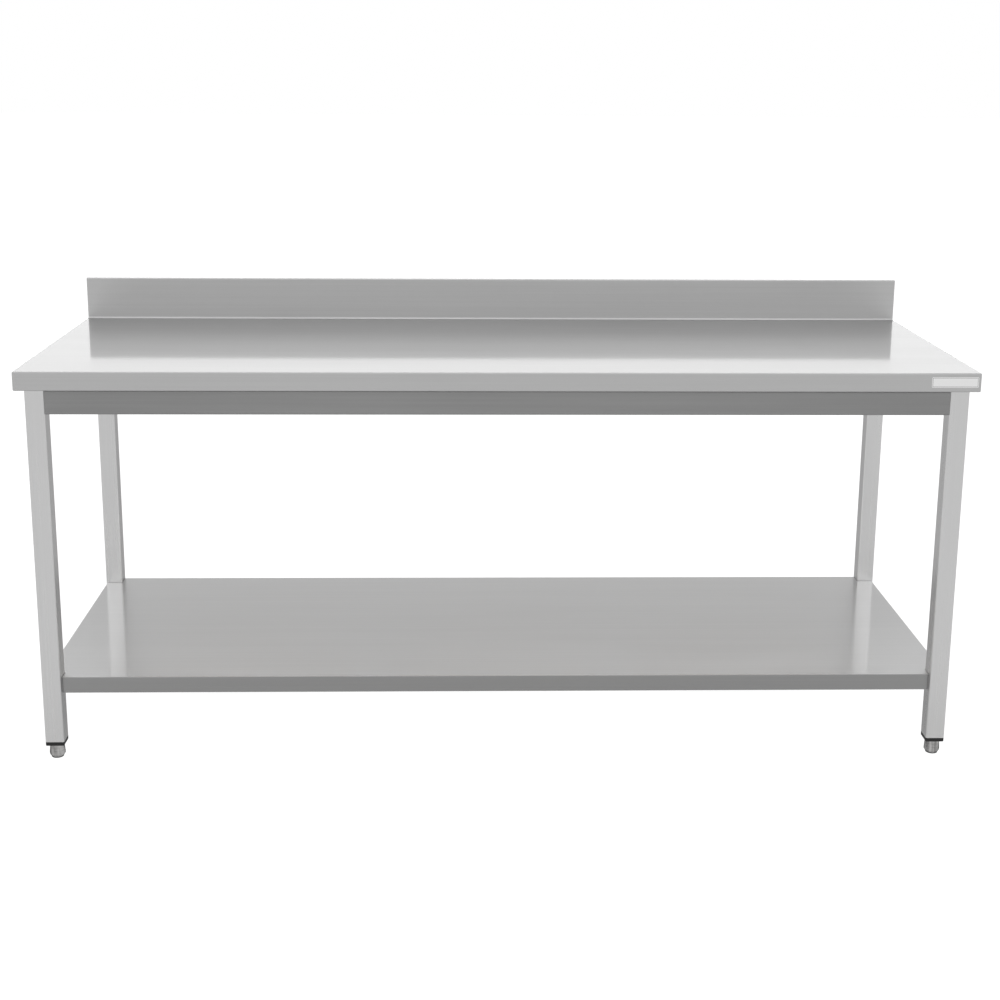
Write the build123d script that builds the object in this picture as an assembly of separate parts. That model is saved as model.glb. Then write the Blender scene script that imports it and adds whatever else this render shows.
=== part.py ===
from build123d import *

import os

# Stainless steel work table with a rear upstand and a lower shelf, for a commercial kitchen.
# Units are millimetres. X runs along the table, Y from the front to the wall side, Z up.
# The origin is on the floor, under the middle of the worktop.

# ---- Overall sizes -------------------------------------------------------------------------
table_length = 2000.0
table_depth = 700.0
work_height = 855.0  # floor to worktop surface, with the feet screwed right in
upstand_height = 100.0  # above the worktop surface
upstand_thickness = 15.0

# ---- Worktop: one folded sheet over a board ------------------------------------------------
skin_sheet = 1.0
edge_height = 40.0  # depth of the folded edge, all round
edge_bend = 2.5  # outside radius of the edge folds
cove_radius = 5.0  # hygienic radius between worktop and upstand
return_lap = 20.0  # how far each underside return reaches in over the leg frame
board_thickness = 18.0
board_gap = 2.0  # board to the folded edges

# ---- Hat-section stiffeners ----------------------------------------------------------------
hat_sheet = 1.2
hat_inside_bend = 1.0
hat_crown = 30.0
hat_flange = 15.0
top_hat_count = 4
top_hat_end_gap = 1.5
shelf_hat_count = 2
shelf_hat_depth = 22.0
shelf_hat_end_gap = 1.5

# ---- Leg frame -----------------------------------------------------------------------------
leg_size = 40.0
leg_wall = 1.5
leg_corner = 3.0
leg_side_inset = 22.0  # worktop end to leg
leg_front_inset = 3.0
leg_rear_inset = 15.0
rail_height = 50.0
rail_flange = 25.0
rail_sheet = 1.5
rail_inside_bend = 1.0
rail_recess = 1.0  # rail face behind the leg face
tab_length = 32.0  # end tab of a long rail, against the leg
tab_gap = 1.0  # end tab to the rail's flanges

# ---- Lower shelf ---------------------------------------------------------------------------
shelf_height = 185.0  # floor to shelf surface
shelf_sheet = 1.0
shelf_edge = 36.0
shelf_bend = 2.0
shelf_return = 15.0
shelf_front_inset = 12.0  # leg face to shelf edge
shelf_rear_inset = 6.0
shelf_side_inset = 3.0
notch_gap = 0.5  # leg to the notch round it, front to back; its screwed tab lies on the leg

# ---- Levelling feet ------------------------------------------------------------------------
leg_end_height = 40.0  # floor to the open end of the leg tube
insert_flange = 9.0
insert_flange_round = 2.0
insert_fit = 0.2  # insert to tube wall, all round
insert_depth = 25.0
insert_wall = 2.0
insert_rib = 2.5
boss_radius = 12.0
stud_radius = 5.0
stud_top = 88.0
stud_chamfer = 1.0
thread_clearance = 0.05
stud_hole_clearance = 0.5
nut_across_flats = 16.8
nut_height = 8.0
nut_pocket_gap = 0.1
foot_top_radius = 15.0
foot_waist_radius = 17.0
foot_waist_height = 8.0
foot_bottom_radius = 13.5
foot_across_flats = 31.0
foot_rim_round = 1.0
foot_seat_gap = 0.2  # foot to insert, screwed right in
foot_socket_floor = 10.0
pad_radius = 13.0
pad_thickness = 2.5
pad_round = 0.6
pad_gap = 0.1
spigot_radius = 6.0
spigot_height = 3.5
spigot_clearance = 0.05
spigot_end_gap = 0.5

# ---- Fasteners -----------------------------------------------------------------------------
frame_screw = dict(radius=3.0, length=14.0, head=10.0, head_height=4.5, washer=7.0)
top_screw = dict(radius=2.5, length=9.0, head=8.0, head_height=3.5, washer=5.0)
washer_thickness = 1.2
screw_hole_clearance = 0.4
screw_fit = 0.05
rivet_nut_radius = 4.5
rivet_nut_length = 13.0
rivet_nut_bulge = 6.0
rivet_nut_bulge_length = 4.0
rivet_nut_fit = 0.05
rail_screw_pitch = 30.0
shelf_screw_drop = 18.0  # shelf surface to screw
side_screw_pitch = 400.0

# ---- Label on the front edge ---------------------------------------------------------------
label_length = 98.0
label_height = 22.0
label_thickness = 0.4
label_corner = 2.0
label_end_inset = 6.0  # worktop end to label
label_drop = 8.0  # worktop surface to label

# ---- Places worked out from the sizes above ------------------------------------------------
half_length = table_length / 2
half_depth = table_depth / 2
edge_bottom = work_height - edge_height
upstand_front = half_depth - upstand_thickness
upstand_half = half_length - edge_bend
upstand_top = work_height + upstand_height

leg_x = half_length - leg_side_inset - leg_size / 2
front_leg_y = -half_depth + leg_front_inset + leg_size / 2
rear_leg_y = half_depth - leg_rear_inset - leg_size / 2
legs = {
    "front_left": (-leg_x, front_leg_y),
    "front_right": (leg_x, front_leg_y),
    "rear_left": (-leg_x, rear_leg_y),
    "rear_right": (leg_x, rear_leg_y),
}
inner_leg_x = leg_x - leg_size / 2  # the legs' faces that look at each other along X
front_rail_y = front_leg_y - leg_size / 2 + rail_recess
rear_rail_y = rear_leg_y + leg_size / 2 - rail_recess
side_rail_x = leg_x + leg_size / 2 - rail_recess
rail_screw_line = rail_recess + (return_lap - rail_recess) / 2  # in from the rail face

board_bottom = work_height - skin_sheet - board_thickness
top_hat_x = side_rail_x - rail_screw_line
side_screw_y = (front_leg_y + rear_leg_y) / 2

shelf_half = leg_x + leg_size / 2 - shelf_side_inset
shelf_front = front_leg_y - leg_size / 2 + shelf_front_inset
shelf_rear = rear_leg_y + leg_size / 2 - shelf_rear_inset
shelf_bottom = shelf_height - shelf_edge
shelf_screw_z = shelf_height - shelf_screw_drop

insert_bottom = leg_end_height - insert_flange
insert_top = leg_end_height + insert_depth
foot_top = insert_bottom - foot_seat_gap
foot_bottom = pad_thickness + pad_gap


# ---- Shared shapes -------------------------------------------------------------------------
def block(x_range, y_range, z_range):
    """A box between two values on each axis."""
    size = [high - low for low, high in (x_range, y_range, z_range)]
    middle = [(high + low) / 2 for low, high in (x_range, y_range, z_range)]
    return Pos(*middle) * Box(*size)


def rod(radius, low, high):
    """A cylinder along Z between two heights."""
    return Pos(0, 0, (low + high) / 2) * Cylinder(radius, high - low)


def hex_bar(across_flats, low, high):
    """A hexagonal bar along Z between two heights."""
    outline = RegularPolygon(across_flats / 2, 6, major_radius=False)
    return Pos(0, 0, low) * extrude(outline, high - low)


def folded_section(points, sheet, inside_bend):
    """Section of a folded sheet: one face runs through the points, the thickness lies on its right."""
    corners = [Vector(*point) for point in points]
    radii = []
    for before, corner, after in zip(corners, corners[1:], corners[2:]):
        turn = (corner - before).cross(after - corner).Z
        radii.append(inside_bend + sheet if turn < 0 else inside_bend)
    face_line = FilletPolyline(*points, radius=radii)
    return make_face(offset(face_line, sheet, side=Side.RIGHT).edges())


def hat_section(depth):
    """Hat section with its flanges at Z 0 and its crown down at -depth, centred on X 0."""
    crown = hat_crown / 2
    brim = crown + hat_flange
    inner_depth = depth - hat_sheet
    points = [
        (-brim, 0),
        (-crown, 0),
        (-crown, -inner_depth),
        (crown, -inner_depth),
        (crown, 0),
        (brim, 0),
    ]
    return folded_section(points, hat_sheet, hat_inside_bend)


def screw(radius, length, head, head_height, washer):
    """Hexagon flange screw: its seat is at Z 0, the head above it and the shank below."""
    body = rod(washer, 0, washer_thickness)
    body += hex_bar(head, washer_thickness, washer_thickness + head_height)
    body += rod(radius, -length, 0)
    tip = body.edges().filter_by(GeomType.CIRCLE).sort_by(Axis.Z)[0]
    return chamfer(tip, radius / 4)


def rivet_nut():
    """Rivet nut, flush with the wall at Z 0, its body inside the tube below."""
    bulge_top = -leg_wall
    body = rod(rivet_nut_radius, -rivet_nut_length, 0)
    body += rod(rivet_nut_bulge, bulge_top - rivet_nut_bulge_length, bulge_top)
    return body - rod(frame_screw["radius"] + screw_fit, -rivet_nut_length, 0)


def facing(x_side):
    """Turns local +Z away from the leg on that side, towards the middle of the table."""
    return Rot(0, -90 * x_side, 0)


# ---- Places of the fasteners ---------------------------------------------------------------
def rail_screw_places():
    """Screw points on the legs' inner faces, one pair for each end of each long rail."""
    middle = edge_bottom - rail_height / 2
    for x, y in legs.values():
        side = 1 if x > 0 else -1
        for step in (-0.5, 0.5):
            yield side, y, middle + step * rail_screw_pitch


def shelf_screw_places():
    """Screw points on the legs' inner faces, one for each corner of the shelf."""
    for x, y in legs.values():
        yield (1 if x > 0 else -1), y, shelf_screw_z


def top_screw_places():
    """Screw points that hold the worktop down on the rails, as X and Y."""
    for x in top_hat_places()[1:-1]:
        yield x, front_rail_y + rail_screw_line
        yield x, rear_rail_y - rail_screw_line
    for side in (-1, 1):
        for step in (-0.5, 0.5):
            yield side * top_hat_x, side_screw_y + step * side_screw_pitch


def top_hat_places():
    """X of each stiffener under the board, the outermost over the side rails."""
    spacing = 2 * top_hat_x / (top_hat_count - 1)
    return [-top_hat_x + n * spacing for n in range(top_hat_count)]


def top_screw_holes(low, high, clearance):
    """The bars that cut the worktop screws' holes between two heights."""
    bar = rod(top_screw["radius"] + clearance, low, high)
    return [Pos(x, y, 0) * bar for x, y in top_screw_places()]


# ---- Worktop -------------------------------------------------------------------------------
def cove(y, z, radius):
    """The fillet-shaped bar in the corner at (y, z), under a radius that opens up and forwards."""
    bar = block((-upstand_half, upstand_half), (y - radius, y), (z, z + radius))
    hollow = Pos(0, y - radius, z + radius) * Rot(0, 90, 0) * Cylinder(radius, table_length)
    return bar - hollow


def upstand_bar(inset):
    """The upstand as a solid bar, drawn in by inset on its front, back and top."""
    bar = block(
        (-upstand_half, upstand_half),
        (upstand_front + inset, half_depth - inset),
        (edge_bottom + edge_bend + inset, upstand_top - inset),
    )
    top_edges = bar.edges().filter_by(Axis.X).group_by(Axis.Z)[-1]
    return fillet(top_edges, edge_bend - inset)


def worktop_form(inset):
    """Worktop and upstand as one solid, drawn in by inset: 0 is the outside, the sheet the inside."""
    slab = block(
        (-half_length + inset, half_length - inset),
        (-half_depth + inset, half_depth - inset),
        (edge_bottom + inset, work_height - inset),
    )
    slab = fillet(slab.edges(), edge_bend - inset)
    corner = cove(upstand_front + inset, work_height - inset, cove_radius + inset)
    return slab + upstand_bar(inset) + corner


def worktop_skin():
    """The worktop sheet: surface, upstand, folded edges and the returns under them."""
    opening = block(
        (-half_length + leg_side_inset + return_lap, half_length - leg_side_inset - return_lap),
        (-half_depth + leg_front_inset + return_lap, half_depth - leg_rear_inset - return_lap),
        (edge_bottom - skin_sheet, edge_bottom + 2 * skin_sheet),
    )
    skin = worktop_form(0) - worktop_form(skin_sheet) - opening
    return skin - top_screw_holes(edge_bottom - skin_sheet, edge_bottom + 2 * skin_sheet, screw_fit)


def upstand_end_caps():
    """Two small plates that close the ends of the hollow upstand."""
    caps = []
    for side in (-1, 1):
        ends = sorted((side * upstand_half, side * (upstand_half - skin_sheet)))
        slice_ = block(ends, (0, half_depth), (work_height - skin_sheet, upstand_top))
        caps.append(upstand_bar(skin_sheet) & slice_)
    return caps


def worktop_board():
    """The water-resistant board that backs the sheet."""
    gap = skin_sheet + board_gap
    return block(
        (-half_length + gap, half_length - gap),
        (-half_depth + gap, half_depth - gap),
        (board_bottom, board_bottom + board_thickness),
    )


def worktop_stiffener(x):
    """A hat section across the table, from the board down to the returns."""
    reach = table_depth - 2 * (skin_sheet + top_hat_end_gap)
    depth = board_bottom - edge_bottom - skin_sheet
    section = Plane.XZ * hat_section(depth)
    bar = extrude(section, reach / 2, both=True)
    bar = Pos(x, 0, board_bottom) * bar
    return bar - top_screw_holes(edge_bottom, board_bottom, screw_fit)


def label_plate():
    """A thin plain label on the front edge, near the right-hand end."""
    plate = extrude(RectangleRounded(label_length, label_height, label_corner), label_thickness)
    x = half_length - label_end_inset - label_length / 2
    z = work_height - label_drop - label_height / 2
    return Pos(x, -half_depth, z) * Rot(90, 0, 0) * plate


# ---- Leg frame -----------------------------------------------------------------------------
def leg(x, y):
    """A square tube leg, with holes for the rivet nuts in its inner face."""
    outside = RectangleRounded(leg_size, leg_size, leg_corner)
    inside_size = leg_size - 2 * leg_wall
    inside = RectangleRounded(inside_size, inside_size, leg_corner - leg_wall)
    tube = extrude(outside - inside, edge_bottom - leg_end_height)
    tube = Pos(x, y, leg_end_height) * tube
    hole = rod(rivet_nut_radius + rivet_nut_fit, -leg_size / 2, leg_size / 2)
    for side, hole_y, z in [*rail_screw_places(), *shelf_screw_places()]:
        if side * x > 0 and hole_y == y:
            tube -= Pos(side * inner_leg_x, y, z) * facing(side) * hole
    return tube


def rail(length, tabs):
    """A channel along X, face at Y 0 and top at Z 0, open towards +Y, with or without end tabs."""
    points = [
        (rail_flange, -rail_height),
        (0, -rail_height),
        (0, 0),
        (rail_flange, 0),
    ]
    section = Plane.YZ * folded_section(points, rail_sheet, rail_inside_bend)
    channel = extrude(section, length / 2, both=True)
    if not tabs:
        return channel
    hole_y = leg_size / 2 - rail_recess
    for side in (-1, 1):
        end = sorted((side * length / 2, side * (length / 2 - rail_sheet)))
        inner = rail_sheet + tab_gap
        channel += block(end, (rail_sheet / 2, tab_length), (inner - rail_height, -inner))
        for step in (-0.5, 0.5):
            z = step * rail_screw_pitch - rail_height / 2
            hole = Cylinder(frame_screw["radius"] + screw_hole_clearance, 4 * rail_sheet)
            channel -= Pos(side * length / 2, hole_y, z) * Rot(0, 90, 0) * hole
    return channel


def placed_rails():
    """The four rails under the worktop, by name, with the worktop screws' holes."""
    long_rail = rail(2 * inner_leg_x, tabs=True)
    short_rail = rail(rear_leg_y - front_leg_y - leg_size, tabs=False)
    rails = {
        "front_rail": Pos(0, front_rail_y, edge_bottom) * long_rail,
        "rear_rail": Pos(0, rear_rail_y, edge_bottom) * Rot(0, 0, 180) * long_rail,
        "left_rail": Pos(-side_rail_x, side_screw_y, edge_bottom) * Rot(0, 0, -90) * short_rail,
        "right_rail": Pos(side_rail_x, side_screw_y, edge_bottom) * Rot(0, 0, 90) * short_rail,
    }
    low = edge_bottom - rail_height / 2
    holes = top_screw_holes(low, edge_bottom + rail_sheet, screw_hole_clearance)
    return {name: shape - holes for name, shape in rails.items()}


# ---- Lower shelf ---------------------------------------------------------------------------
def shelf_plan(inset):
    """Plan of the shelf, drawn in by inset: a rectangle with a notch round each leg."""
    middle_y = (shelf_front + shelf_rear) / 2
    depth = shelf_rear - shelf_front
    plan = Pos(0, middle_y) * Rectangle(2 * (shelf_half - inset), depth - 2 * inset)
    notch = Rectangle(leg_size + 2 * inset, leg_size + 2 * (notch_gap + inset))
    for x, y in legs.values():
        plan -= Pos(x, y) * notch
    return plan


def shelf_tray():
    """The shelf: a folded tray with returns under its edges and a tab against each leg."""
    tray = Pos(0, 0, shelf_bottom) * extrude(shelf_plan(0), shelf_edge)
    tray = fillet(tray.edges().group_by(Axis.Z)[-1], shelf_bend)
    hollow = Pos(0, 0, shelf_bottom) * extrude(shelf_plan(shelf_sheet), shelf_edge - shelf_sheet)
    hollow = fillet(hollow.edges().group_by(Axis.Z)[-1], shelf_bend - shelf_sheet)
    tray -= hollow
    low = (shelf_bottom, shelf_bottom + shelf_sheet)
    between_legs = (-inner_leg_x, inner_leg_x)
    front_y = front_leg_y + leg_size / 2 + notch_gap
    rear_y = rear_leg_y - leg_size / 2 - notch_gap
    tray += block(between_legs, (shelf_front, shelf_front + shelf_return), low)
    tray += block(between_legs, (shelf_rear - shelf_return, shelf_rear), low)
    for side in (-1, 1):
        strip = sorted((side * shelf_half, side * (shelf_half - shelf_return)))
        tray += block(strip, (front_y, rear_y), low)
    hole = Cylinder(frame_screw["radius"] + screw_hole_clearance, 8 * shelf_sheet)
    for side, y, z in shelf_screw_places():
        tray -= Pos(side * inner_leg_x, y, z) * facing(side) * hole
    return tray


def shelf_stiffener_places():
    """Y of each stiffener under the shelf, evenly spaced between its edges."""
    spacing = (shelf_rear - shelf_front) / (shelf_hat_count + 1)
    return [shelf_front + (n + 1) * spacing for n in range(shelf_hat_count)]


def shelf_stiffener(y):
    """A hat section along the table, under the shelf sheet."""
    reach = shelf_half - shelf_sheet - shelf_hat_end_gap
    bar = extrude(Plane.YZ * hat_section(shelf_hat_depth), reach, both=True)
    return Pos(0, y, shelf_height - shelf_sheet) * bar


# ---- Levelling feet ------------------------------------------------------------------------
def leg_insert():
    """Black insert in the end of the leg: a flange, a thin box, ribs and a boss for the nut."""
    flange = extrude(RectangleRounded(leg_size, leg_size, leg_corner), insert_flange)
    flange = Pos(0, 0, insert_bottom) * flange
    flange = fillet(flange.edges().group_by(Axis.Z)[0], insert_flange_round)
    plug_size = leg_size - 2 * (leg_wall + insert_fit)
    corner = leg_corner - leg_wall - insert_fit
    outside = RectangleRounded(plug_size, plug_size, corner)
    inside = Rectangle(plug_size - 2 * insert_wall, plug_size - 2 * insert_wall)
    plug = Pos(0, 0, leg_end_height) * extrude(outside - inside, insert_depth)
    height = (leg_end_height, insert_top)
    across = (-plug_size / 2 + insert_wall / 2, plug_size / 2 - insert_wall / 2)
    along = (-insert_rib / 2, insert_rib / 2)
    ribs = block(across, along, height) + block(along, across, height)
    body = flange + plug + ribs + rod(boss_radius, *height)
    pocket = nut_across_flats + 2 * nut_pocket_gap
    body -= hex_bar(pocket, insert_top - nut_height, insert_top)
    return body - rod(stud_radius + stud_hole_clearance, insert_bottom, insert_top)


def foot_nut():
    """The hexagon nut in the insert that the foot's stud screws into."""
    nut = hex_bar(nut_across_flats, insert_top - nut_height, insert_top)
    return nut - rod(stud_radius + thread_clearance, insert_top - nut_height, insert_top)


def foot_stud():
    """The threaded stud, plain at its outside diameter."""
    stud = rod(stud_radius, foot_socket_floor, stud_top)
    return chamfer(stud.edges().group_by(Axis.Z)[-1], stud_chamfer)


def foot_body():
    """The turned steel foot: a slight flare, spanner flats, a bevel and two sockets."""
    outline = Polyline(
        (0, foot_bottom),
        (foot_bottom_radius, foot_bottom),
        (foot_waist_radius, foot_waist_height),
        (foot_top_radius, foot_top),
        (0, foot_top),
        close=True,
    )
    body = revolve(Plane.XZ * make_face(outline), Axis.Z)
    body = fillet(body.edges().group_by(Axis.Z)[-1], foot_rim_round)
    body &= hex_bar(foot_across_flats, foot_bottom, foot_top)
    body -= rod(stud_radius, foot_socket_floor, foot_top)
    spigot_end = pad_thickness + spigot_height + spigot_end_gap
    return body - rod(spigot_radius + spigot_clearance, foot_bottom, spigot_end)


def foot_pad():
    """The plastic glide under the foot, with the spigot that the foot turns on."""
    disc = rod(pad_radius, 0, pad_thickness)
    disc = fillet(disc.edges().group_by(Axis.Z)[0], pad_round)
    return disc + rod(spigot_radius, pad_thickness, pad_thickness + spigot_height)


# ---- The whole table, node by node ---------------------------------------------------------
def fasteners():
    """The groups of identical screws and rivet nuts, by name."""
    frame_places = [*rail_screw_places(), *shelf_screw_places()]
    frame_part = screw(**frame_screw)
    rail_seat = inner_leg_x - rail_sheet
    shelf_seat = inner_leg_x - shelf_sheet
    top_part = Rot(180, 0, 0) * screw(**top_screw)
    top_seat = edge_bottom - rail_sheet
    return {
        "rail_screws": [
            Pos(side * rail_seat, y, z) * facing(side) * frame_part
            for side, y, z in rail_screw_places()
        ],
        "shelf_screws": [
            Pos(side * shelf_seat, y, z) * facing(side) * frame_part
            for side, y, z in shelf_screw_places()
        ],
        "worktop_screws": [Pos(x, y, top_seat) * top_part for x, y in top_screw_places()],
        "rivet_nuts": [
            Pos(side * inner_leg_x, y, z) * facing(side) * rivet_nut()
            for side, y, z in frame_places
        ],
    }


def table():
    """Every node of the table: its name and its solid, or its list of solids."""
    nodes = {
        "worktop_skin": worktop_skin(),
        "upstand_end_caps": upstand_end_caps(),
        "worktop_board": worktop_board(),
        "label_plate": label_plate(),
        "shelf_tray": shelf_tray(),
        **placed_rails(),
        **fasteners(),
    }
    for number, x in enumerate(top_hat_places(), 1):
        nodes[f"worktop_stiffener_{number}"] = worktop_stiffener(x)
    for number, y in enumerate(shelf_stiffener_places(), 1):
        nodes[f"shelf_stiffener_{number}"] = shelf_stiffener(y)
    foot_parts = {
        "leg_insert": leg_insert(),
        "foot_nut": foot_nut(),
        "foot_stud": foot_stud(),
        "foot_body": foot_body(),
        "foot_pad": foot_pad(),
    }
    for corner, (x, y) in legs.items():
        nodes[f"leg_{corner}"] = leg(x, y)
        for name, shape in foot_parts.items():
            nodes[f"{name}_{corner}"] = Pos(x, y, 0) * shape
    return nodes


def main():
    os.makedirs("parts", exist_ok=True)
    for name, shape in table().items():
        solids = shape if isinstance(shape, list) else [shape]
        export_step(Compound([s for part in solids for s in part.solids()]), f"parts/{name}.step")


main()
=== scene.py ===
import math

import bpy
from mathutils import Matrix, Vector


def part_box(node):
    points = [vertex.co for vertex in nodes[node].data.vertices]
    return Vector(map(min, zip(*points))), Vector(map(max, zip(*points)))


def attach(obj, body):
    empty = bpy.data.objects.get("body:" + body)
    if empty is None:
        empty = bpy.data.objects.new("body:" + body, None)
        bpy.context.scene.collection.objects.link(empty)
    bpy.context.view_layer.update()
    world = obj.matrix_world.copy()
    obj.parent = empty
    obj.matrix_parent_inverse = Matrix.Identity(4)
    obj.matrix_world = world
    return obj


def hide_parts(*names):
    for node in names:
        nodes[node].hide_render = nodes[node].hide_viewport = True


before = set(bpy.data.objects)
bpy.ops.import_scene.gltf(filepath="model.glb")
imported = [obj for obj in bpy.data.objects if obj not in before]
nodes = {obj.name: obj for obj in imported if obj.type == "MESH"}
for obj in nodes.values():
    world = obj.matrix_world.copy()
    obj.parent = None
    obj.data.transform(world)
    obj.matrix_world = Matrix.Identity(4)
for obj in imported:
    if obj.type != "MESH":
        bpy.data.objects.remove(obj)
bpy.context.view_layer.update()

# ---- Legs -----------------------------------------------------------------------------------
# Four legs of square stainless tube, 40 mm across with a 1.5 mm wall and small round corners.
# The mill brushes the tube along its length, so the grain runs up each leg, and handling rubs
# the corners a little brighter than the flats.


def wire(tree, kind, inputs, **settings):
    """A node of that kind, each input given as a value or as the socket that it comes from."""
    node = tree.nodes.new(kind)
    for name, value in settings.items():
        setattr(node, name, value)
    for name, value in inputs.items():
        if isinstance(value, bpy.types.NodeSocket):
            tree.links.new(value, node.inputs[name])
        else:
            node.inputs[name].default_value = value
    return node


def calc(tree, operation, *values):
    """One sum on numbers, each a value or a socket; the result is a socket."""
    inputs = dict(enumerate(values))
    return wire(tree, "ShaderNodeMath", inputs, operation=operation).outputs[0]


def between(tree, value, low, high, start=0.0, end=1.0):
    """The value carried from low..high to start..end, and held there outside."""
    inputs = {"Value": value, "From Min": low, "From Max": high, "To Min": start, "To Max": end}
    return wire(tree, "ShaderNodeMapRange", inputs).outputs[0]


def noise(tree, place, scale, detail):
    """A noise from 0 to 1; the larger its scale, the finer it is."""
    inputs = {"Vector": place, "Scale": scale, "Detail": detail}
    return wire(tree, "ShaderNodeTexNoise", inputs).outputs["Fac"]


def tint(tree, share, first, second):
    """A colour between two others; each is a colour or a socket."""
    inputs = {0: share, 6: first, 7: second}
    return wire(tree, "ShaderNodeMix", inputs, data_type="RGBA").outputs[2]


def grey(level, warmth=0.0):
    """A near-neutral colour; warmth leans it to yellow, and below zero to blue."""
    return (level * (1 + warmth), level, level * (1 - warmth), 1)


def group(name, kind, inputs, outputs):
    """An empty node group with named sockets: its tree, what it is given and what it puts out."""
    tree = bpy.data.node_groups.new(name, kind)
    for direction, sockets in (("INPUT", inputs), ("OUTPUT", outputs)):
        for label, socket in sockets.items():
            tree.interface.new_socket(label, in_out=direction, socket_type=f"NodeSocket{socket}")
    return tree, tree.nodes.new("NodeGroupInput").outputs, tree.nodes.new("NodeGroupOutput").inputs


noise_spread = (0.38, 0.62)  # where nearly all of a mixed noise lies


def drawn_noise(tree, place, length, width):
    """Noise drawn out along X: each mark about as long and as wide as it says."""
    stretch = wire(tree, "ShaderNodeCombineXYZ", {"X": calc(tree, "DIVIDE", 1.0, length)})
    for across in "YZ":
        tree.links.new(calc(tree, "DIVIDE", 1.0, width), stretch.inputs[across])
    inputs = {0: place, 1: stretch.outputs[0]}
    drawn = wire(tree, "ShaderNodeVectorMath", inputs, operation="MULTIPLY")
    return noise(tree, drawn.outputs[0], 1.0, 2.0)


def make_brushed_grain():
    """Grain along X of Place: fine lines, wider streaks and broad clouds, each given as a width.
    It turns down over the folds at the ends of a sheet, where the surface faces along X."""
    tree, given, made = group(
        "brushed_grain",
        "ShaderNodeTree",
        {
            "Place": "Vector",
            "Facing": "Vector",
            "Line": "Float",
            "Streak": "Float",
            "Cloud": "Float",
        },
        {"Tone": "Float", "Height": "Float"},
    )
    facing = wire(tree, "ShaderNodeSeparateXYZ", {0: given["Facing"]}).outputs["X"]
    at_end = calc(tree, "GREATER_THAN", calc(tree, "ABSOLUTE", facing), 0.7)
    x, y, z = wire(tree, "ShaderNodeSeparateXYZ", {0: given["Place"]}).outputs
    folded = wire(tree, "ShaderNodeCombineXYZ", {0: z, 1: y, 2: x}).outputs[0]
    inputs = {0: at_end, 4: given["Place"], 5: folded}
    place = wire(tree, "ShaderNodeMix", inputs, data_type="VECTOR").outputs[1]
    marks = {}
    mixed = 0.0
    widths_long_and_share = {"Line": (500.0, 0.30), "Streak": (220.0, 0.35), "Cloud": (5.0, 0.35)}
    for mark, (widths_long, share) in widths_long_and_share.items():
        length = calc(tree, "MULTIPLY", given[mark], widths_long)
        marks[mark] = drawn_noise(tree, place, length, given[mark])
        mixed = calc(tree, "MULTIPLY_ADD", marks[mark], share, mixed)
    height = calc(tree, "MULTIPLY_ADD", marks["Streak"], 0.5, marks["Line"])
    tree.links.new(between(tree, mixed, *noise_spread), made["Tone"])
    tree.links.new(height, made["Height"])
    return tree


def make_edge_wear():
    """Mask of the edges: 1 where a corner is within Width, broken up by a noise."""
    tree, given, made = group(
        "edge_wear", "ShaderNodeTree", {"Place": "Vector", "Width": "Float"}, {"Mask": "Float"}
    )
    rounded = wire(tree, "ShaderNodeBevel", {"Radius": given["Width"]}, samples=6).outputs[0]
    facing = wire(tree, "ShaderNodeNewGeometry", {}).outputs["Normal"]
    alike = wire(tree, "ShaderNodeVectorMath", {0: rounded, 1: facing}, operation="DOT_PRODUCT")
    edge = between(tree, alike.outputs["Value"], 0.99, 0.85)
    broken = between(tree, noise(tree, given["Place"], 160.0, 3.0), 0.3, 0.6)
    tree.links.new(calc(tree, "MULTIPLY", edge, broken), made["Mask"])
    return tree


brushed_grain = make_brushed_grain()
edge_wear = make_edge_wear()


def worn_edges(tree, place, width):
    """The mask of the edges of a piece, as wide as it says."""
    inputs = {"Place": place["Object"], "Width": width}
    return wire(tree, "ShaderNodeGroup", inputs, node_tree=edge_wear).outputs["Mask"]


def new_finish(name, **values):
    """A material with one Principled shader: the material, its tree, the shader and the place."""
    finish = bpy.data.materials.new(name)
    finish.use_nodes = True
    tree = finish.node_tree
    shader = tree.nodes["Principled BSDF"]
    for socket, value in values.items():
        shader.inputs[socket.replace("_", " ")].default_value = value
    return finish, tree, shader, wire(tree, "ShaderNodeTexCoord", {}).outputs


def give(tree, shader, colour, rough, height, depth):
    """Feeds the shader its colour, its roughness if that varies, and a bump of that depth."""
    tree.links.new(colour, shader.inputs["Base Color"])
    if rough is not None:
        tree.links.new(rough, shader.inputs["Roughness"])
    bump = wire(tree, "ShaderNodeBump", {"Distance": depth, "Height": height})
    tree.links.new(bump.outputs[0], shader.inputs["Normal"])


turns_to_x = {"X": (0, 0, 0), "Y": (0, 0, -math.pi / 2), "Z": (0, math.pi / 2, 0)}
line_width, streak_width, cloud_width = 0.0004, 0.004, 0.11
line_depth = 0.9e-5
worn_grey = 0.93  # steel rubbed as bright as it gets


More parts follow.
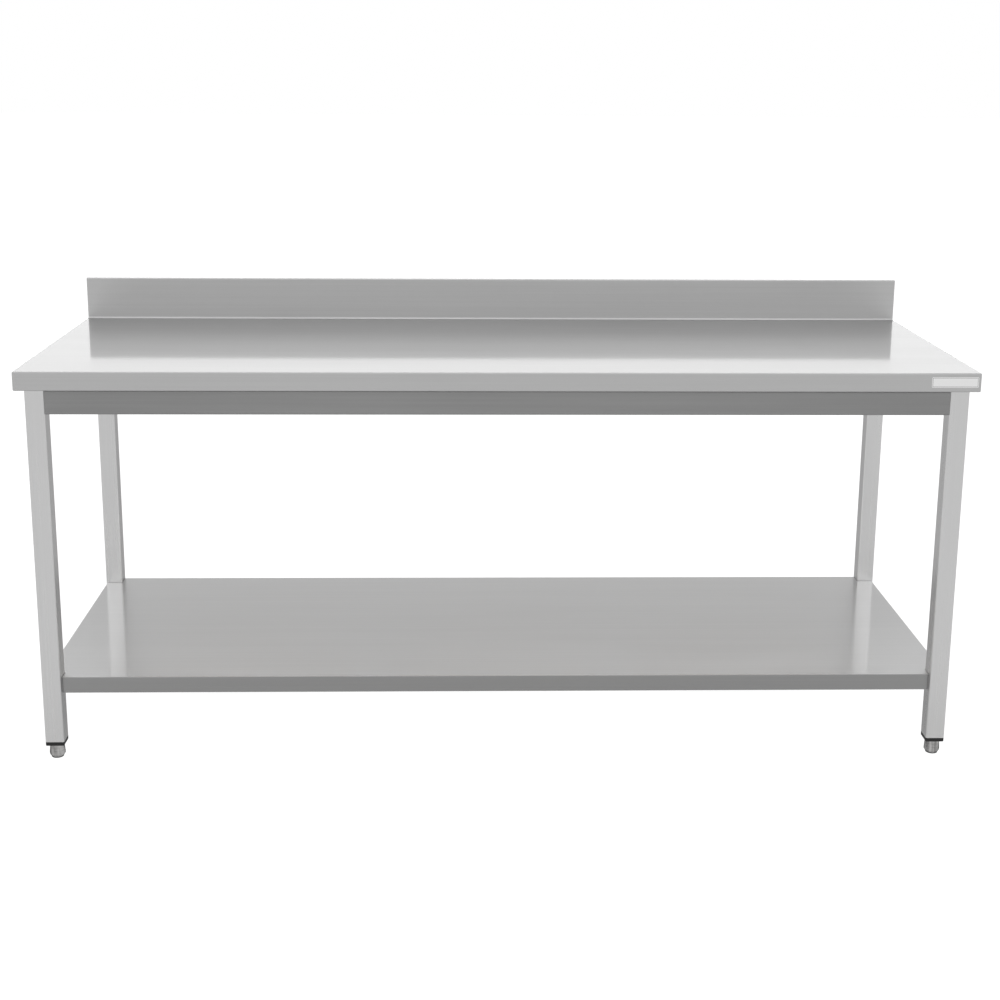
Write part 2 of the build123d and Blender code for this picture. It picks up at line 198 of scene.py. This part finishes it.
def brushed_steel(name, grain_axis, dull, bright, smooth, rough, rim, polish=0.0, upright_shade=1.0):
    """Brushed stainless steel, its grain along an axis. dull and bright are the ends of its grey,
    smooth and rough the ends of its roughness. rim is how bright its reflection stays at a low
    angle, polish a sharp gloss over the grain, and the last value how much of its grey upright
    faces keep: a painted shade that darkens upright faces so that they look shaded."""
    finish, tree, shader, place = new_finish(
        name,
        Metallic=1.0,
        Anisotropic=0.8,
        Specular_Tint=grey(rim),
        Coat_Weight=polish,
        Coat_Roughness=0.07,
        Coat_IOR=1.7,
    )
    across = wire(tree, "ShaderNodeTangent", {}, direction_type="RADIAL", axis=grain_axis)
    tree.links.new(across.outputs[0], shader.inputs["Tangent"])
    turn = turns_to_x[grain_axis]
    turned = [
        wire(tree, "ShaderNodeMapping", {"Vector": place[source], "Rotation": turn}).outputs[0]
        for source in ("Object", "Normal")
    ]
    inputs = {
        "Place": turned[0],
        "Facing": turned[1],
        "Line": line_width,
        "Streak": streak_width,
        "Cloud": cloud_width,
    }
    grain = wire(tree, "ShaderNodeGroup", inputs, node_tree=brushed_grain).outputs
    tone = tint(tree, grain["Tone"], grey(dull), grey(bright))
    # Painted shade: upright faces keep only that share of their grey, so that they look shaded.
    if upright_shade < 1.0:
        up = wire(tree, "ShaderNodeSeparateXYZ", {0: place["Normal"]}).outputs["Z"]
        upright = between(tree, calc(tree, "ABSOLUTE", up), 0.9, 0.5)
        inputs = {0: upright, 6: tone, 7: grey(upright_shade)}
        shaded_tone = wire(tree, "ShaderNodeMix", inputs, data_type="RGBA", blend_type="MULTIPLY")
        tone = shaded_tone.outputs[2]
    worn = calc(tree, "MULTIPLY", worn_edges(tree, place, 0.0015), 0.6)
    colour = tint(tree, worn, tone, grey(min(worn_grey, bright * 1.15)))
    roughness = between(tree, grain["Tone"], 0.0, 1.0, rough, smooth)
    roughness = calc(tree, "MULTIPLY_ADD", worn, -0.4 * smooth, roughness)
    give(tree, shader, colour, roughness, grain["Height"], line_depth)
    return finish


def dress(finish, *names):
    """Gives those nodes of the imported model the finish."""
    for name in names:
        for held in nodes[name].material_slots:
            held.material = finish


corners = ["front_left", "front_right", "rear_left", "rear_right"]
leg_look = dict(dull=0.80, bright=0.83, smooth=0.27, rough=0.31, rim=0.46)
dress(brushed_steel("leg_steel", "Z", **leg_look), *[f"leg_{corner}" for corner in corners])

# ---- Leg inserts ----------------------------------------------------------------------------
# Black glass-filled nylon plugs, moulded in one piece and hammered into the open end of each leg.
# Only the 9 mm flange shows. The mould leaves a fine stipple, and the flange's edge is rubbed grey.


def make_stipple():
    """Fine moulded stipple: its height, and a slow change of tone over the piece."""
    tree, given, made = group(
        "moulded_stipple",
        "ShaderNodeTree",
        {"Place": "Vector", "Size": "Float"},
        {"Height": "Float", "Tone": "Float"},
    )
    fine = noise(tree, given["Place"], calc(tree, "DIVIDE", 1.0, given["Size"]), 3.0)
    slow = noise(tree, given["Place"], 90.0, 2.0)
    tree.links.new(fine, made["Height"])
    tree.links.new(between(tree, slow, 0.35, 0.65), made["Tone"])
    return tree


moulded_stipple = make_stipple()


def moulded_plastic(name, dark, light, size, depth, roughness):
    """Moulded plastic with a stipple of that size and depth, scuffed paler along its edges."""
    finish, tree, shader, place = new_finish(name)
    inputs = {"Place": place["Object"], "Size": size}
    stipple = wire(tree, "ShaderNodeGroup", inputs, node_tree=moulded_stipple).outputs
    tone = tint(tree, stipple["Tone"], dark, light)
    scuffed = [3 * value for value in light[:3]] + [1]
    scuff = calc(tree, "MULTIPLY", worn_edges(tree, place, 0.0008), 0.35)
    rough = between(tree, stipple["Tone"], 0.0, 1.0, roughness - 0.05, roughness + 0.08)
    give(tree, shader, tint(tree, scuff, tone, scuffed), rough, stipple["Height"], depth)
    return finish


black_nylon = moulded_plastic("black_nylon", grey(0.008), grey(0.014), 0.0006, 4e-5, 0.55)
dress(black_nylon, *[f"leg_insert_{corner}" for corner in corners])

# ---- Foot nuts and rivet nuts ---------------------------------------------------------------
# Bright zinc-plated steel: the hexagon nut pressed into each insert, and the rivet nuts pulled
# into the legs' inner faces, which the frame's screws turn into.


def zinc_plate(name):
    """Bright zinc plating: a pale metal, a little cloudy, with yellow hints."""
    finish, tree, shader, place = new_finish(name, Metallic=1.0)
    cloudy = noise(tree, place["Object"], 220.0, 4.0)
    colour = tint(tree, between(tree, cloudy, 0.35, 0.65), grey(0.50, -0.03), grey(0.64, 0.025))
    colour = tint(tree, worn_edges(tree, place, 0.0004), colour, grey(0.75))
    give(tree, shader, colour, between(tree, cloudy, 0.3, 0.7, 0.36, 0.2), cloudy, 2e-5)
    return finish


zinc = zinc_plate("bright_zinc")
dress(zinc, "rivet_nuts", *[f"foot_nut_{corner}" for corner in corners])

# ---- Levelling feet -------------------------------------------------------------------------
# Each foot is a turned steel body with two spanner flats, fixed on an M10 x 1.5 stud. Turning it
# raises or lowers the leg. It stands on a dark nylon glide that stays still while the foot turns.

FLOAT, GEOMETRY = "Float", "Geometry"
round_sides = 40
thread_depth = 0.61  # a metric thread's depth as a share of its pitch
thread_blunting = 0.75  # the ridge's width as a share of its depth, before it is swept
run_outs_a_turn = 3.0  # the thread dies away over a third of a turn at each end


def make_threaded_rod():
    """A rod along Z with one helical ridge: a core at the root of the thread, and the thread."""
    tree, given, made = group(
        "threaded_rod",
        "GeometryNodeTree",
        {"Radius": FLOAT, "Pitch": FLOAT, "Low": FLOAT, "High": FLOAT},
        {"Mesh": GEOMETRY},
    )
    depth = calc(tree, "MULTIPLY", given["Pitch"], thread_depth)
    root = calc(tree, "SUBTRACT", given["Radius"], depth)
    length = calc(tree, "SUBTRACT", given["High"], given["Low"])
    middle = calc(tree, "MULTIPLY", calc(tree, "ADD", given["High"], given["Low"]), 0.5)
    inputs = {"Vertices": round_sides, "Radius": root, "Depth": length}
    core = wire(tree, "GeometryNodeMeshCylinder", inputs)
    lift = wire(tree, "ShaderNodeCombineXYZ", {"Z": middle}).outputs[0]
    core = wire(tree, "GeometryNodeTransform", {"Geometry": core.outputs[0], "Translation": lift})
    run = calc(tree, "SUBTRACT", length, given["Pitch"])
    turns = calc(tree, "DIVIDE", run, given["Pitch"])
    inputs = {
        "Resolution": 24,
        "Rotations": turns,
        "Start Radius": root,
        "End Radius": root,
        "Height": run,
        "Reverse": False,
    }
    helix = wire(tree, "GeometryNodeCurveSpiral", inputs)
    start = calc(tree, "MULTIPLY_ADD", given["Pitch"], 0.5, given["Low"])
    lift = wire(tree, "ShaderNodeCombineXYZ", {"Z": start}).outputs[0]
    helix = wire(tree, "GeometryNodeTransform", {"Geometry": helix.outputs[0], "Translation": lift})
    helix = wire(tree, "GeometryNodeSetCurveNormal", {"Curve": helix.outputs[0]}, mode="Z_UP")
    ridge = wire(tree, "GeometryNodeCurvePrimitiveCircle", {"Resolution": 4, "Radius": depth})
    inputs = {"Geometry": ridge.outputs[0], "Scale": (1, thread_blunting, 1)}
    ridge = wire(tree, "GeometryNodeTransform", inputs)
    along = wire(tree, "GeometryNodeSplineParameter", {}).outputs["Factor"]
    from_end = calc(tree, "MINIMUM", along, calc(tree, "SUBTRACT", 1.0, along))
    turns_from_end = calc(tree, "MULTIPLY", from_end, turns)
    run_out = calc(tree, "MULTIPLY", turns_from_end, run_outs_a_turn)
    inputs = {
        "Curve": helix.outputs[0],
        "Profile Curve": ridge.outputs[0],
        "Scale": calc(tree, "MINIMUM", run_out, 1.0),
        "Fill Caps": True,
    }
    thread = wire(tree, "GeometryNodeCurveToMesh", inputs)
    both = wire(tree, "GeometryNodeJoinGeometry", {"Geometry": core.outputs[0]})
    tree.links.new(thread.outputs[0], both.inputs[0])
    tree.links.new(both.outputs[0], made["Mesh"])
    return tree


threaded_rod = make_threaded_rod()
spin_seed = 7
sharp_edge = math.radians(28)


def place_at_points(tree, points, part, facing=None):
    """The part set on each point, turned so that its Z runs along facing."""
    inputs = {"Points": points, "Instance": part}
    if facing is not None:
        turn_and_seed = {2: 0.0, 3: math.tau, 8: spin_seed}
        spin = wire(tree, "FunctionNodeRandomValue", turn_and_seed, data_type="FLOAT")
        twist = wire(tree, "FunctionNodeAxisAngleToRotation", {"Axis": (0, 0, 1)})
        tree.links.new(spin.outputs["Value"], twist.inputs["Angle"])
        towards = wire(tree, "FunctionNodeAlignRotationToVector", {"Vector": facing}, axis="Z")
        inputs["Rotation"] = wire(
            tree,
            "FunctionNodeRotateRotation",
            {"Rotation": towards.outputs[0], "Rotate By": twist.outputs[0]},
            rotation_space="LOCAL",
        ).outputs[0]
    return wire(tree, "GeometryNodeInstanceOnPoints", inputs).outputs[0]


def finish_mesh(tree, geometry, made, material):
    """Ends a tree: instances made real, shaded smooth except over sharp edges, and its material."""
    real = wire(tree, "GeometryNodeRealizeInstances", {"Geometry": geometry}).outputs[0]
    smooth = wire(tree, "GeometryNodeSetShadeSmooth", {"Geometry": real, "Shade Smooth": True})
    angle = wire(tree, "GeometryNodeInputMeshEdgeAngle", {}).outputs[0]
    sharp = calc(tree, "GREATER_THAN", angle, sharp_edge)
    edges = {"Geometry": smooth.outputs[0], "Selection": sharp, "Shade Smooth": False}
    kept = wire(tree, "GeometryNodeSetShadeSmooth", edges, domain="EDGE")
    inputs = {"Geometry": kept.outputs[0], "Material": material}
    coloured = wire(tree, "GeometryNodeSetMaterial", inputs)
    tree.links.new(coloured.outputs[0], made)


def grow(name, tree, points, values, facings=None):
    """A mesh of its own, grown by the tree from points; facings are the ways the parts face."""
    seeds = bpy.data.meshes.new(f"{name}_points")
    seeds.from_pydata(points, [], [])
    if facings:
        towards = seeds.attributes.new("facing", "FLOAT_VECTOR", "POINT")
        towards.data.foreach_set("vector", [part for facing in facings for part in facing])
    grower = bpy.data.objects.new(f"{name}_seeds", seeds)
    bpy.context.scene.collection.objects.link(grower)
    modifier = grower.modifiers.new(name, "NODES")
    modifier.node_group = tree
    for item in tree.interface.items_tree:
        if item.in_out == "INPUT" and item.name in values:
            modifier[item.identifier] = values[item.name]
    ready = grower.evaluated_get(bpy.context.evaluated_depsgraph_get())
    mesh = bpy.data.meshes.new_from_object(ready)
    grower.modifiers.remove(modifier)
    bpy.data.objects.remove(grower)
    mesh.name = name
    piece = bpy.data.objects.new(name, mesh)
    bpy.context.scene.collection.objects.link(piece)
    return piece


def make_stud_tree():
    """A threaded stud at each point."""
    tree, given, made = group(
        "foot_studs",
        "GeometryNodeTree",
        {
            "Points": GEOMETRY,
            "Radius": FLOAT,
            "Pitch": FLOAT,
            "Length": FLOAT,
            "Material": "Material",
        },
        {"Mesh": GEOMETRY},
    )
    inputs = {"Radius": given["Radius"], "Pitch": given["Pitch"], "High": given["Length"]}
    rod = wire(tree, "GeometryNodeGroup", inputs, node_tree=threaded_rod)
    studs = place_at_points(tree, given["Points"], rod.outputs[0])
    finish_mesh(tree, studs, made["Mesh"], given["Material"])
    return tree


def centre(node):
    """The middle of a node's box."""
    low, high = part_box(node)
    return (low + high) / 2


stud_tree = make_stud_tree()
stud_pitch = 0.0015
for corner in corners:
    low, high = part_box(f"foot_stud_{corner}")
    middle = centre(f"foot_stud_{corner}")
    values = {
        "Radius": (high.x - low.x) / 2,
        "Pitch": stud_pitch,
        "Length": high.z - low.z,
        "Material": zinc,
    }
    stud = grow(f"threaded_stud_{corner}", stud_tree, [(middle.x, middle.y, low.z)], values)
    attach(stud, f"foot_{corner}")
    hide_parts(f"foot_stud_{corner}")


def measured_from(tree, place, middle):
    """How far along X, Y and Z the surface lies from that point."""
    inputs = {"Vector": place["Object"], "Location": -middle}
    moved = wire(tree, "ShaderNodeMapping", inputs).outputs[0]
    return wire(tree, "ShaderNodeSeparateXYZ", {0: moved}).outputs


def turned_steel(name, axis):
    """Steel turned in a lathe: fine rings round the axis, painted reflections as tall light and
    dark streaks in its grey, and worn edges a little brighter.
    """
    finish, tree, shader, place = new_finish(name, Metallic=1.0, Specular_Tint=grey(0.2))
    x, y, z = measured_from(tree, place, Vector((axis.x, axis.y, 0)))
    squares = calc(tree, "ADD", calc(tree, "POWER", x, 2.0), calc(tree, "POWER", y, 2.0))
    out = calc(tree, "SQRT", squares)
    ring = wire(tree, "ShaderNodeCombineXYZ", {"X": out, "Y": z}).outputs[0]
    lines = noise(tree, ring, 2600.0, 2.0)
    broad = noise(tree, ring, 300.0, 2.0)
    rings = calc(tree, "MULTIPLY_ADD", broad, 0.5, calc(tree, "MULTIPLY", lines, 0.5))
    # Painted reflections: tall light and dark streaks down the foot, set into its grey.
    inputs = {"Vector": place["Object"], "Scale": (150, 150, 12)}
    tall = wire(tree, "ShaderNodeMapping", inputs).outputs[0]
    painted_streaks = between(tree, noise(tree, tall, 1.0, 2.0), 0.36, 0.60, 0.0, 0.7)
    tone = calc(tree, "MULTIPLY_ADD", between(tree, rings, *noise_spread), 0.3, painted_streaks)
    colour = tint(tree, tone, grey(0.22, 0.01), grey(0.78, 0.01))
    colour = tint(tree, worn_edges(tree, place, 0.0007), colour, grey(0.86))
    give(tree, shader, colour, between(tree, tone, 0.0, 1.0, 0.30, 0.16), lines, 5e-5)
    return finish


for corner in corners:
    foot_steel = turned_steel(f"turned_steel_{corner}", centre(f"foot_body_{corner}"))
    dress(foot_steel, f"foot_body_{corner}")
dark_nylon = moulded_plastic("dark_nylon", grey(0.035), grey(0.055), 0.0008, 5e-5, 0.5)
dress(dark_nylon, *[f"foot_pad_{corner}" for corner in corners])

# ---- Rails ----------------------------------------------------------------------------------
# Four channels folded from 1.5 mm stainless sheet, 50 mm high, that join the legs under the
# worktop. Their grey is set far below the legs' as painted shade, and they are brushed along
# each rail before it is folded.

# Painted shade: the rails' grey is set far below the legs' so that they look shaded.
rail_look = dict(dull=0.345, bright=0.375, smooth=0.46, rough=0.52, rim=0.65)
dress(brushed_steel("long_rail_steel", "X", **rail_look), "front_rail", "rear_rail")
dress(brushed_steel("side_rail_steel", "Y", **rail_look), "left_rail", "right_rail")

# ---- Frame screws ---------------------------------------------------------------------------
# Zinc-plated hexagon flange screws. Two M6 screws hold each end of a long rail to its leg, and
# they are driven from inside, so their heads show from behind and below.

rim_share = 0.45  # of the flange's thickness, the part that stands straight at its edge
crown_share = 0.475  # of the width across flats, the flat on top inside the chamfer
chamfer = math.radians(60)  # from the screw's axis


def make_flange_screw_tree():
    """A hexagon flange screw at each point, its head out along the point's facing."""
    sizes = [
        "Radius", "Pitch", "Length", "Head across flats", "Head height", "Flange radius",
        "Flange thickness",
    ]
    tree, given, made = group(
        "flange_screws",
        "GeometryNodeTree",
        {"Points": GEOMETRY, **{size: FLOAT for size in sizes}, "Material": "Material"},
        {"Mesh": GEOMETRY},
    )
    thickness, flange_radius = given["Flange thickness"], given["Flange radius"]
    flats = given["Head across flats"]

    def lifted(mesh, z):
        to = wire(tree, "ShaderNodeCombineXYZ", {"Z": z}).outputs[0]
        return wire(tree, "GeometryNodeTransform", {"Geometry": mesh, "Translation": to}).outputs[0]

    rim_height = calc(tree, "MULTIPLY", thickness, rim_share)
    inputs = {"Vertices": round_sides, "Radius": flange_radius, "Depth": rim_height}
    rim = wire(tree, "GeometryNodeMeshCylinder", inputs).outputs[0]
    rim = lifted(rim, calc(tree, "MULTIPLY", rim_height, 0.5))
    inputs = {
        "Vertices": round_sides,
        "Radius Top": calc(tree, "MULTIPLY", flats, 0.5),
        "Radius Bottom": calc(tree, "MULTIPLY", flange_radius, 0.97),
        "Depth": calc(tree, "SUBTRACT", calc(tree, "MULTIPLY", thickness, 1.25), rim_height),
    }
    slope = lifted(wire(tree, "GeometryNodeMeshCone", inputs).outputs[0], rim_height)
    full = calc(tree, "ADD", thickness, given["Head height"])
    corner_radius = calc(tree, "MULTIPLY", flats, 1 / math.sqrt(3))
    inputs = {"Vertices": 6, "Radius": corner_radius, "Depth": full}
    prism = wire(tree, "GeometryNodeMeshCylinder", inputs).outputs[0]
    prism = lifted(prism, calc(tree, "MULTIPLY", full, 0.5))
    crown = calc(tree, "MULTIPLY", flats, crown_share)
    spread = calc(tree, "MULTIPLY_ADD", full, math.tan(chamfer), crown)
    inputs = {"Vertices": 48, "Radius Top": crown, "Radius Bottom": spread, "Depth": full}
    cone = wire(tree, "GeometryNodeMeshCone", inputs).outputs[0]
    exact = dict(operation="INTERSECT", solver="EXACT")
    head = wire(tree, "GeometryNodeMeshBoolean", {"Mesh 2": prism}, **exact)
    tree.links.new(cone, head.inputs["Mesh 2"])
    down = calc(tree, "MULTIPLY", given["Length"], -1.0)
    inputs = {"Radius": given["Radius"], "Pitch": given["Pitch"], "Low": down}
    shank = wire(tree, "GeometryNodeGroup", inputs, node_tree=threaded_rod)
    whole = wire(tree, "GeometryNodeJoinGeometry", {"Geometry": rim})
    for part in (slope, head.outputs[0], shank.outputs[0]):
        tree.links.new(part, whole.inputs[0])
    facing = wire(
        tree, "GeometryNodeInputNamedAttribute", {"Name": "facing"}, data_type="FLOAT_VECTOR"
    ).outputs[0]
    screws = place_at_points(tree, given["Points"], whole.outputs[0], facing)
    finish_mesh(tree, screws, made["Mesh"], given["Material"])
    return tree


flange_screws = make_flange_screw_tree()
m6_screw = {
    "Radius": 0.003,
    "Pitch": 0.001,
    "Length": 0.014,
    "Head across flats": 0.010,
    "Head height": 0.0045,
    "Flange radius": 0.007,
    "Flange thickness": 0.0012,
    "Material": zinc,
}


def screw_set(name, points, facings, size):
    """A group of like screws that stands for the node of the same name."""
    piece = grow(f"{name}_threaded", flange_screws, points, size, facings)
    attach(piece, "table_frame")
    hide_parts(name)


def inner_seat(corner, height, sheet):
    """Where a screw seats on a sheet that lies on a leg's inner face, and the way it faces."""
    low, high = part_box(f"leg_{corner}")
    inward = 1 if low.x < 0 else -1
    face = high.x if inward > 0 else low.x
    return (face + inward * sheet, (low.y + high.y) / 2, height), (inward, 0, 0)


rail_sheet = 0.0015
rail_screw_pitch = 0.030
seats = [
    inner_seat(corner, centre("front_rail").z + step * rail_screw_pitch, rail_sheet)
    for corner in corners
    for step in (-0.5, 0.5)
]
screw_set("rail_screws", *zip(*seats), m6_screw)

# ---- Lower shelf ----------------------------------------------------------------------------
# One stainless sheet folded into a tray, notched round the legs and screwed to them through a tab
# in each notch. Two hat sections of galvanised sheet are stuck under it so that it doesn't drum.

shelf_look = dict(dull=0.82, bright=0.86, smooth=0.28, rough=0.33, rim=0.9, polish=1.0)
# Painted shade: the tray's upright folds keep only 0.40 of its grey, so that they look shaded.
dress(brushed_steel("shelf_steel", "X", **shelf_look, upright_shade=0.40), "shelf_tray")

shelf_sheet = 0.001
shelf_screw_drop = 0.018
shelf_screw_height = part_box("shelf_tray")[1].z - shelf_screw_drop
seats = [inner_seat(corner, shelf_screw_height, shelf_sheet) for corner in corners]
screw_set("shelf_screws", *zip(*seats), m6_screw)


def galvanised_sheet(name, spangle):
    """Hot-dipped zinc: flat crystals of slightly different greys, some duller than others."""
    finish, tree, shader, place = new_finish(name, Metallic=1.0)
    inputs = {"Vector": place["Object"], "Scale": 60.0, "Detail": 3.0}
    warp = wire(tree, "ShaderNodeTexNoise", inputs).outputs["Color"]
    inputs = {0: warp, 1: (0.006, 0.006, 0.006), 2: place["Object"]}
    bent = wire(tree, "ShaderNodeVectorMath", inputs, operation="MULTIPLY_ADD").outputs[0]
    cells = wire(tree, "ShaderNodeTexVoronoi", {"Vector": bent, "Scale": 1 / spangle})
    crystal = wire(tree, "ShaderNodeSeparateXYZ", {0: cells.outputs["Color"]}).outputs
    colour = tint(tree, crystal["X"], grey(0.44, -0.02), grey(0.58, -0.015))
    rough = between(tree, crystal["Y"], 0.0, 1.0, 0.34, 0.55)
    give(tree, shader, colour, rough, crystal["Z"], 3e-5)
    return finish


galvanised = galvanised_sheet("galvanised_sheet", 0.014)
dress(galvanised, "shelf_stiffener_1", "shelf_stiffener_2")

# ---- Worktop stiffeners and board -----------------------------------------------------------
# Four more hat sections run across the table under the worktop, glued to an 18 mm board of
# water-resistant chipboard that fills the sheet above them and keeps it flat and quiet.

dress(galvanised, *[f"worktop_stiffener_{number}" for number in range(1, 5)])


def chipboard(name):
    """Sealed chipboard: flat chips of different browns, drawn out along the board."""
    finish, tree, shader, place = new_finish(name)
    inputs = {"Vector": place["Object"], "Scale": (90, 260, 260)}
    stretched = wire(tree, "ShaderNodeMapping", inputs).outputs[0]
    cells = wire(tree, "ShaderNodeTexVoronoi", {"Vector": stretched, "Scale": 1.0})
    chip = wire(tree, "ShaderNodeSeparateXYZ", {0: cells.outputs["Color"]}).outputs
    fibres = noise(tree, stretched, 3.0, 4.0)
    share = calc(tree, "MULTIPLY_ADD", fibres, 0.5, calc(tree, "MULTIPLY", chip["X"], 0.5))
    colour = tint(tree, share, (0.20, 0.125, 0.065, 1), (0.44, 0.31, 0.18, 1))
    give(tree, shader, colour, between(tree, chip["Y"], 0.0, 1.0, 0.45, 0.65), share, 1e-4)
    return finish


dress(chipboard("sealed_chipboard"), "worktop_board")

# ---- Worktop --------------------------------------------------------------------------------
# One stainless sheet folded over the board: its edges turn down 40 mm and in underneath, and its
# rear runs up a round cove into the hollow upstand, whose ends are closed by small welded plates.

worktop_look = dict(dull=0.56, bright=0.60, smooth=0.30, rough=0.34, rim=0.38, polish=0.38)
worktop_steel = brushed_steel("worktop_steel", "X", **worktop_look)
dress(worktop_steel, "worktop_skin", "upstand_end_caps")

m5_screw = m6_screw | {
    "Radius": 0.0025,
    "Pitch": 0.0008,
    "Length": 0.009,
    "Head across flats": 0.008,
    "Head height": 0.0035,
    "Flange radius": 0.005,
}
screw_line = 0.0105  # in from a rail's face
side_screw_pitch = 0.400
low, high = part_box("front_rail")
seat_height = high.z - rail_sheet
seats = [
    (centre(f"worktop_stiffener_{number}").x, y, seat_height)
    for number in (2, 3)
    for y in (low.y + screw_line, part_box("rear_rail")[1].y - screw_line)
]
side_middle = centre("left_rail").y
seats += [
    (centre(f"worktop_stiffener_{number}").x, side_middle + step * side_screw_pitch, seat_height)
    for number in (1, 4)
    for step in (-0.5, 0.5)
]
screw_set("worktop_screws", seats, [(0, 0, -1)] * len(seats), m5_screw)

# ---- Label ----------------------------------------------------------------------------------
# A thin white plastic label stuck on the right-hand end of the front edge. It is left blank, with
# one thin grey line round it.

line_inset, line_breadth = 0.0018, 0.0007


def blank_label(name, node):
    """Glossy white plastic with a thin frame line, set in from the label's edge."""
    finish, tree, shader, place = new_finish(name, Roughness=0.28)
    low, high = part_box(node)
    middle, half = (low + high) / 2, (high - low) / 2
    x, y, z = measured_from(tree, place, middle)
    side = calc(tree, "SUBTRACT", half.x, calc(tree, "ABSOLUTE", x))
    end = calc(tree, "SUBTRACT", half.z, calc(tree, "ABSOLUTE", z))
    from_line = calc(tree, "SUBTRACT", calc(tree, "MINIMUM", side, end), line_inset)
    on_line = calc(tree, "LESS_THAN", calc(tree, "ABSOLUTE", from_line), line_breadth / 2)
    mottle = noise(tree, place["Object"], 500.0, 3.0)
    white = tint(tree, mottle, grey(0.92), grey(0.97))
    give(tree, shader, tint(tree, on_line, white, grey(0.20)), None, mottle, 1e-5)
    return finish


dress(blank_label("blank_label", "label_plate"), "label_plate")

# ---- Studio ---------------------------------------------------------------------------------
# A plain pale floor that lies below the feet's lowest reach, a white surround that is brightest
# behind the table and dimmer overhead, one large soft light above, a grey screen behind the table
# that is seen only in reflections, and a camera in front, a little above the worktop.


def studio_sheet(name, cloth_name, places):
    """A flat four-cornered sheet of the studio: its object, its material's tree and its surface."""
    mesh = bpy.data.meshes.new(name)
    mesh.from_pydata(places, [], [(0, 1, 2, 3)])
    sheet = bpy.data.objects.new(name, mesh)
    bpy.context.scene.collection.objects.link(sheet)
    cloth = bpy.data.materials.new(cloth_name)
    cloth.use_nodes = True
    tree = cloth.node_tree
    tree.nodes.remove(tree.nodes["Principled BSDF"])
    mesh.materials.append(cloth)
    return sheet, tree, tree.nodes["Material Output"].inputs["Surface"]


def glowing_matt(tree, colour, strength):
    """A matt surface that also gives off white light."""
    matt = wire(tree, "ShaderNodeBsdfDiffuse", {"Color": colour})
    glow = wire(tree, "ShaderNodeEmission", {"Color": grey(1.0), "Strength": strength})
    return wire(tree, "ShaderNodeAddShader", {0: matt.outputs[0], 1: glow.outputs[0]}).outputs[0]


floor_half = 40.0
foot_travel = 0.020
floor_drop = foot_travel + 0.0003  # so that a foot screwed right out never sinks into the floor
floor_places = [
    (x * floor_half, y * floor_half, -floor_drop) for x, y in ((-1, -1), (1, -1), (1, 1), (-1, 1))
]
floor, tree, surface = studio_sheet("floor", "floor_paint", floor_places)
seen = wire(tree, "ShaderNodeLightPath", {}).outputs["Is Camera Ray"]
as_light = glowing_matt(tree, grey(0.45), 0.25)
as_seen = glowing_matt(tree, grey(0.25), 0.92)
mixed = wire(tree, "ShaderNodeMixShader", {0: seen, 1: as_light, 2: as_seen}).outputs[0]
clear = wire(tree, "ShaderNodeBsdfTransparent", {}).outputs[0]
below = wire(tree, "ShaderNodeNewGeometry", {}).outputs["Backfacing"]
mixed = wire(tree, "ShaderNodeMixShader", {0: below, 1: mixed, 2: clear}).outputs[0]
tree.links.new(mixed, surface)

world = bpy.data.worlds.new("studio")
bpy.context.scene.world = world
world.use_nodes = True
tree = world.node_tree
seen = wire(tree, "ShaderNodeLightPath", {}).outputs["Is Camera Ray"]
way = wire(tree, "ShaderNodeTexCoord", {}).outputs["Generated"]
x, y, z = wire(tree, "ShaderNodeSeparateXYZ", {0: way}).outputs  # the way out, each from -1 to 1
low_in_front, high_in_front, behind, overhead = 0.84, 1.12, 2.70, 0.72
in_front = between(tree, z, 0.05, 0.30, low_in_front, high_in_front)
around = between(tree, y, 0.3, 0.9, in_front, behind)
upward = between(tree, z, 0.28, 0.52)
level = wire(tree, "ShaderNodeMix", {0: upward, 2: around, 3: overhead}).outputs[0]
shown = wire(tree, "ShaderNodeMix", {0: seen, 2: level, 3: 1.0}).outputs[0]
tree.links.new(shown, tree.nodes["Background"].inputs["Strength"])
tree.nodes["Background"].inputs["Color"].default_value = grey(1.0)

softbox = bpy.data.lights.new("softbox", "AREA")
softbox.shape = "RECTANGLE"
softbox.size, softbox.size_y = 3.5, 2.5
softbox.energy = 14
softbox_stand = bpy.data.objects.new("softbox", softbox)
softbox_stand.location = (0, -0.4, 3.6)
bpy.context.scene.collection.objects.link(softbox_stand)

screen_height, screen_half, screen_y = 1.0, 4.0, 1.5
screen_places = [
    (side * screen_half, screen_y, z)
    for side, z in ((-1, 0), (1, 0), (1, screen_height), (-1, screen_height))
]
screen, tree, surface = studio_sheet("screen", "screen_cloth", screen_places)
place = wire(tree, "ShaderNodeTexCoord", {}).outputs["Object"]
up = wire(tree, "ShaderNodeSeparateXYZ", {0: place}).outputs["Z"]
screen_low, screen_high = 0.60, 0.32
strength = between(tree, up, 0.40, 0.95, screen_low, screen_high)
dim = wire(tree, "ShaderNodeEmission", {"Color": grey(1.0), "Strength": strength})
tree.links.new(dim.outputs[0], surface)
screen.visible_camera = screen.visible_diffuse = screen.visible_shadow = False

camera = bpy.data.cameras.new("camera")
camera.lens = 56.80
camera.shift_y = -0.0764
camera_stand = bpy.data.objects.new("camera", camera)
camera_place = Matrix.Translation((-0.0919, -3.5365, 1.4836))
yaw, pitch, roll = math.radians(1.63), math.radians(13.0), math.radians(0.41)
forward = Vector(
    (math.sin(yaw) * math.cos(pitch), math.cos(yaw) * math.cos(pitch), -math.sin(pitch))
)
right = Vector((math.cos(yaw), -math.sin(yaw), 0))
above = right.cross(forward)
aim = Matrix((right, above, -forward)).transposed().to_4x4()
camera_stand.matrix_world = camera_place @ aim @ Matrix.Rotation(roll, 4, "Z")
bpy.context.scene.collection.objects.link(camera_stand)
bpy.context.scene.camera = camera_stand
bpy.context.scene.view_settings.view_transform = "Standard"
